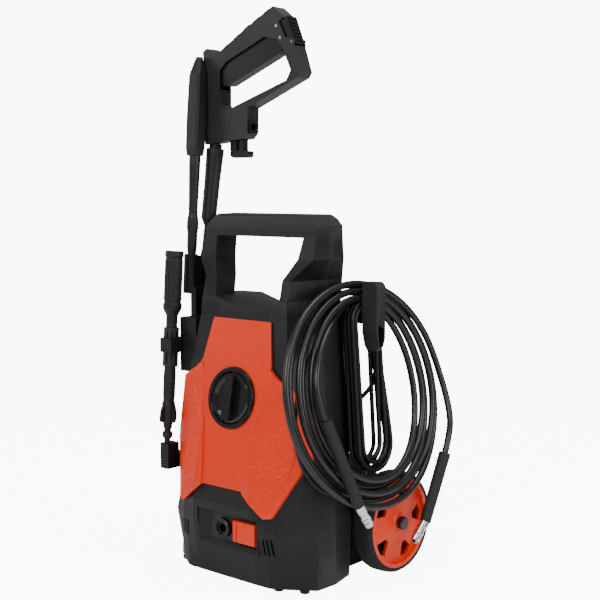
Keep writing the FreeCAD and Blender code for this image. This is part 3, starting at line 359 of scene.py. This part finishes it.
# ------------------------------------------------------------------ power cord
CORD_DIAMETER = 0.0068
CORD_LEAD = [(84, 23, 250), (84, 56, 250), (91, 76, 259), (105, 86, 281), (113, 83, 308),
             (114, 69, 332), (113, 54, 354)]
CORD_LOOP = [(121, -20, 398), (126, -58, 380), (131, -97, 345), (138, -128, 304),
             (143, -145, 252), (145, -134, 200), (146, -102, 160), (146, -64, 141),
             (145, -34, 142), (143, -10, 148), (139, 12, 150), (131, 33, 154), (120, 43, 167)]
CORD_TAIL = [(106, 41, 181), (92, 36, 186), (77, 35, 185.6)]
HANK_COLUMNS = (-10.2, -3.4, 3.4, 10.2)
HANK_X = 127.6
HANK_Z = 400
HANK_LEAN = 0.08
HANK_ROW = 7.2
HANK_TOP = (22, 385, 24)
FOLD_CORNERS = 6
FOLD_SWELL = 1.08
# middle, half width and lowest point of each turn, in mm
HANK_TURNS = [(24, 27, 177), (28, 30, 174), (24, 24, 181), (27, 28, 176),
              (28, 39, 164), (30, 39, 167), (29, 42, 164), (28, 38, 166)]


def hank_turn(turn, last=12):
    """Control points of one turn of the hank: over the hook's arm, down the front, up the back."""
    middle, reach, low = HANK_TURNS[turn]
    row, column = divmod(turn, len(HANK_COLUMNS))
    side = HANK_COLUMNS[column if row == 0 else -1 - column]
    top_y, top_z, top_reach = HANK_TOP
    folds = ((top_y, top_z, top_reach + HANK_ROW * row, 0), (middle, low + reach, reach, 180))
    points = []
    for centre, height, radius, begin in folds:
        for corner in range(FOLD_CORNERS):
            angle = math.radians(begin - 22.5 + 45 * corner)
            y = centre + FOLD_SWELL * radius * math.cos(angle)
            z = height + FOLD_SWELL * radius * math.sin(angle)
            points.append(Vector((HANK_X + side + HANK_LEAN * (HANK_Z - z), y, z)))
    return points[:last]


def make_power_cord(finishes):
    """The mains cord: one spline from the gland, round the hank and the free loop, to the plug."""
    points = [Vector(p) for p in CORD_LEAD]
    for turn in range(len(HANK_TURNS) - 1):
        points += hank_turn(turn)
    points += hank_turn(len(HANK_TURNS) - 1, 4)
    points += [Vector(p) for p in CORD_LOOP + CORD_TAIL]
    cord = spline_object("power_cord", [p * MM for p in points], CORD_DIAMETER,
                         finishes["cord_black"])
    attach(cord, "machine")
    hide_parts("power_cord_lead", "power_cord_hank", "power_cord_loop", "power_cord_tail")
    length = curve_length(cord)


# ------------------------------------------------------------------ moulded details
def node_surface(name):
    """The surface of a CAD node, for laying details on it."""
    mesh = NODES[name].data
    return BVHTree.FromPolygons([v.co for v in mesh.vertices],
                                [tuple(f.vertices) for f in mesh.polygons])


def edge_distance(x, z, outline):
    """Signed distance in mm from a point to an outline, positive inside."""
    inside = False
    nearest = 1e9
    for (ax, az), (bx, bz) in zip(outline, outline[1:] + outline[:1]):
        if (az > z) != (bz > z) and x < (bx - ax) * (z - az) / (bz - az) + ax:
            inside = not inside
        span = Vector((bx - ax, bz - az))
        step = max(0.0, min(1.0, Vector((x - ax, z - az)).dot(span) / span.length_squared))
        nearest = min(nearest, (Vector((x - ax, z - az)) - span * step).length)
    return nearest if inside else -nearest


STAR_PITCH = 11.5
STAR_ROWS = 0.87
STAR_ARM = 4.8
STAR_HALF, STAR_SLOPE = 2.0, 0.9


def star_pattern(x, z):
    """Height from 0 to 1 of a field of small three-armed stars, alternately turned."""
    best = 2 * STAR_ARM
    row = round(z / (STAR_PITCH * STAR_ROWS))
    for near_row in (row - 1, row, row + 1):
        shift = 0.5 * STAR_PITCH * (near_row % 2)
        column = round((x - shift) / STAR_PITCH)
        for near_column in (column - 1, column, column + 1):
            dx = x - shift - near_column * STAR_PITCH
            dz = z - near_row * STAR_PITCH * STAR_ROWS
            turn = 90 if (near_row + near_column) % 2 == 0 else -90
            for arm in range(3):
                angle = math.radians(turn + 120 * arm)
                along = max(0.0, min(STAR_ARM, dx * math.cos(angle) + dz * math.sin(angle)))
                best = min(best, math.hypot(dx - along * math.cos(angle),
                                            dz - along * math.sin(angle)))
    return max(0.0, min(1.0, (STAR_HALF - best) / STAR_SLOPE))


# how deep a raised panel's edge starts, and how far its skirt runs on below, in mm
SINK = 0.5
SKIRT = 1.6


def relief(name, outline, node, slot, finishes, height, pattern=0.0, step=0.95, rim=2.4):
    """A raised panel laid on a CAD surface that faces the front; its edge ends just below."""
    surface = node_surface(node)
    xs, zs = [p[0] for p in outline], [p[1] for p in outline]
    columns = int((max(xs) - min(xs) + 4) / step)
    rows = int((max(zs) - min(zs) + 4) / step)
    mesh = bmesh.new()
    placed = {}
    for i in range(columns + 1):
        for k in range(rows + 1):
            x, z = min(xs) - 2 + i * step, min(zs) - 2 + k * step
            margin = edge_distance(x, z, outline)
            if margin < -SKIRT:
                continue
            spot, normal, _, _ = surface.ray_cast(mm(x, -400, z), Vector((0, 1, 0)))
            if spot is None:
                continue
            ramp = max(0.0, min(1.0, margin / rim))
            lift = -SINK + (height + SINK) * ramp * ramp * (3 - 2 * ramp)
            if margin < 0:
                lift = -SINK + 0.3 * margin
            lift += pattern * ramp * star_pattern(x, z)
            if normal.y > 0:
                normal = -normal
            placed[i, k] = mesh.verts.new(spot + normal * lift * MM)
    for (i, k), vertex in placed.items():
        corners = [placed.get(key) for key in ((i, k), (i + 1, k), (i + 1, k + 1), (i, k + 1))]
        if None not in corners:
            mesh.faces.new(corners)
    loose = [v for v in mesh.verts if not v.link_faces]
    bmesh.ops.delete(mesh, geom=loose, context="VERTS")
    data = bpy.data.meshes.new(name)
    mesh.to_mesh(data)
    mesh.free()
    for face in data.polygons:
        face.use_smooth = True
    return new_piece(name, data, "machine", slot, finishes)


def prisms(name, outlines, low, high, body, slot, finishes, bevel=0.0):
    """One piece made of prisms: XZ outlines that run along Y from low to high, in mm."""
    mesh = bmesh.new()
    for outline in outlines:
        rings = []
        for level in (low, high):
            rings.append([mesh.verts.new(mm(x, level, z)) for x, z in outline])
        mesh.faces.new(rings[0])
        mesh.faces.new(list(reversed(rings[1])))
        for index in range(len(outline)):
            after = (index + 1) % len(outline)
            mesh.faces.new((rings[0][after], rings[0][index], rings[1][index], rings[1][after]))
    piece = finish_mesh(name, mesh, body, slot, finishes)
    if bevel:
        edge = piece.modifiers.new("edge", "BEVEL")
        edge.width, edge.segments = bevel * MM, 3
    return piece


# rows from front to back and levels from bottom to top of the side ribs, in mm
RIDGE_COUNT, RIDGE_FRONT, RIDGE_PITCH = 9, -44, 4.4
RIDGE_LEVELS, RIDGE_FOOT, RIDGE_RISE = 9, 24, 10


def side_ridges(finishes):
    """Fine upright ribs that follow the side walls in front of the wheels."""
    surface = node_surface("rear_housing")
    for side, word in ((1, "right"), (-1, "left")):
        mesh = bmesh.new()
        for number in range(RIDGE_COUNT):
            y = RIDGE_FRONT + RIDGE_PITCH * number
            rings = []
            for step in range(RIDGE_LEVELS):
                z = RIDGE_FOOT + RIDGE_RISE * step
                lift = 0.7 if 0 < step < RIDGE_LEVELS - 1 else -0.3
                ring = []
                for across, proud in ((0, -0.4), (0.5, lift), (1.2, lift), (1.7, -0.4)):
                    spot, _, _, _ = surface.ray_cast(mm(side * 220, y + across, z),
                                                     Vector((-side, 0, 0)))
                    if spot is not None and abs(spot.x) > 0.11:
                        ring.append(mesh.verts.new(spot + mm(side * proud, 0, 0)))
                if len(ring) == 4:
                    rings.append(ring)
            close_tube(mesh, rings)
        finish_mesh(f"side_ridges_{word}", mesh, "machine", "body_black", finishes)


def close_tube(mesh, rings):
    """Faces between rings of equal length, and over both ends."""
    for ring_a, ring_b in zip(rings, rings[1:]):
        for corner in range(len(ring_a)):
            after = (corner + 1) % len(ring_a)
            mesh.faces.new((ring_a[corner], ring_a[after], ring_b[after], ring_b[corner]))
    if rings:
        mesh.faces.new(list(reversed(rings[0])))
        mesh.faces.new(rings[-1])


def finish_mesh(name, mesh, body, slot, finishes):
    """Turn a bmesh into a piece, with its faces pointing outwards."""
    bmesh.ops.recalc_face_normals(mesh, faces=mesh.faces)
    data = bpy.data.meshes.new(name)
    mesh.to_mesh(data)
    mesh.free()
    return new_piece(name, data, body, slot, finishes)


def flutes(name, foot, direction, radius, start, end, count, width, depth, body, slot, finishes):
    """Raised ribs along a turned piece, as one mesh, each tapering out at both ends."""
    mesh = bmesh.new()
    turn = Vector((0, 0, 1)).rotation_difference(Vector(direction).normalized()).to_matrix()
    stations = [(start, -0.3), (start + 3, depth), (end - 3, depth), (end, -0.3)]
    for index in range(count):
        around = 2 * math.pi * index / count
        half = width / (2 * radius)
        rings = []
        for level, lift in stations:
            ring = []
            for angle, reach in ((-half, -0.5), (-0.5 * half, lift), (0.5 * half, lift),
                                 (half, -0.5)):
                r = radius + reach
                spot = Vector((r * math.cos(around + angle), r * math.sin(around + angle), level))
                ring.append(mesh.verts.new((Vector(foot) + turn @ spot) * MM))
            rings.append(ring)
        close_tube(mesh, rings)
    return finish_mesh(name, mesh, body, slot, finishes)


# right-hand outlines of the cover's raised panels, and the gun's back edge, as X and Z in mm
WING = [(83, 288), (93, 292), (105, 258), (114, 222), (118, 200), (112, 172), (92, 140),
        (72, 128), (52, 146), (49.5, 178), (50, 222), (72, 268)]
SHOULDER = [(69, 316), (84, 311), (101, 300), (92, 297), (80, 294), (67, 268), (46, 224),
            (41, 238), (43, 268)]
GUN_BACK = [(-104, 795), (-87, 804), (-59, 820), (-29.7, 835), (5.7, 852)]


def along_path(path, distance):
    """Point and direction at a distance along a line of points."""
    for (ax, az), (bx, bz) in zip(path, path[1:]):
        span = math.hypot(bx - ax, bz - az)
        if distance <= span or (bx, bz) == path[-1]:
            return (ax + (bx - ax) * distance / span, az + (bz - az) * distance / span,
                    (bx - ax) / span, (bz - az) / span)
        distance -= span


def make_details(finishes):
    """Raised panels on the cover, and the ribs, arrow, teeth and flutes of the smaller parts."""
    for side, word in ((1, "right"), (-1, "left")):
        wing = [(side * x, z) for x, z in WING]
        relief(f"cover_wing_{word}", wing, "front_cover", "cover_orange", finishes, 1.3, 0.5,
               step=0.8)
        shoulder = [(side * x, z) for x, z in SHOULDER]
        relief(f"cover_shoulder_{word}", shoulder, "front_cover", "cover_orange", finishes, 0.9,
               step=1.3, rim=4.0)
    ribs = []
    for number in range(5):
        x, z, dx, dz = along_path(GUN_BACK, 4 + 23.5 * number)
        outline = [(0, -2), (21, -2), (20, 1.0), (15, 2.0), (6, 2.0), (1, 1.0)]
        ribs.append([(x + a * dx - b * dz, z + a * dz + b * dx) for a, b in outline])
    prisms("gun_palm_ribs", ribs, -33.4, -10.6, "gun", "gun_black", finishes, 0.7)
    arrow = [(-90, 671), (-84.5, 671), (-84.5, 690), (-81.5, 690), (-87.2, 701), (-93, 690),
             (-90, 690)]
    prisms("gun_arrow", [arrow], -35.5, -34.6, "gun", "gun_black", finishes)
    teeth = []
    for number in range(7):
        step = number / 6
        x, z = 46.6 - 13.2 * step, 800.5 + 32 * step
        teeth.append([(x - 1, z - 1.5), (x + 1.5, z - 0.6), (x + 0.7, z + 1.4), (x - 1.8, z + 0.6)])
    prisms("catch_teeth", teeth, -31.5, -12.5, "catch", "trigger_black", finishes)
    side_ridges(finishes)
    turbo = (-143, -119, 187), (0, 0.066, 1)
    flutes("turbo_head_flutes", *turbo, 13.1, 221, 288, 22, 1.9, 0.9, "turbo_lance",
           "lance_black", finishes)
    flutes("turbo_collar_flutes", *turbo, 9.0, 70, 116, 14, 1.3, 0.5, "turbo_lance",
           "lance_black", finishes)
    vario = (-142, -64, 470), (0, 0.057, 1)
    flutes("vario_collar_flutes", *vario, 8.6, 47, 65, 16, 1.5, 0.7, "vario_lance",
           "lance_black", finishes)


# ------------------------------------------------------------------ carried-over CAD nodes
def dress_nodes(finishes):
    """Give each CAD node the procedural finish of its record slot."""
    slots = {row["node"]: row["material_slot"] for row in frame["record"]["subparts"]}
    for name, node in NODES.items():
        node.data.materials.clear()
        node.data.materials.append(finishes[slots[name]])


BEVEL_ANGLE = 28
# edge radius of each moulded node, in mm
BEVELS = {
    "front_housing": 1.6, "rear_housing": 1.6, "pump_cover": 2.5, "front_cover": 0.9,
    "handle_front": 2.2, "handle_rear": 2.2, "outlet_bezel": 0.9, "release_button": 0.8,
    "hose_hook": 1.6, "lance_holder": 1.2, "lower_lance_pocket": 1.2, "gun_shell_front": 1.7,
    "gun_shell_rear": 1.7, "trigger": 1.3, "gun_catch": 1.0, "hose_fork_clip": 0.9,
    "gun_hose_port": 0.7, "vario_lance_hood": 1.4, "power_plug": 1.4, "hub_right": 0.8,
    "hub_left": 0.8, "power_knob": 1.0, "knob_bezel": 0.7,
}


def bevel_nodes():
    """Round the moulded edges with a modifier; the CAD meshes stay as they are."""
    for name, width in BEVELS.items():
        bevel = NODES[name].modifiers.new("edge", "BEVEL")
        bevel.width = width * MM
        bevel.segments = 3
        bevel.limit_method = "ANGLE"
        bevel.angle_limit = math.radians(BEVEL_ANGLE)
        bevel.use_clamp_overlap = True
        bevel.harden_normals = False


make_camera()
FINISHES = make_finishes()
make_hose(FINISHES)
make_power_cord(FINISHES)
make_stage()
make_details(FINISHES)
dress_nodes(FINISHES)
bevel_nodes()

bpy.context.view_layer.update()
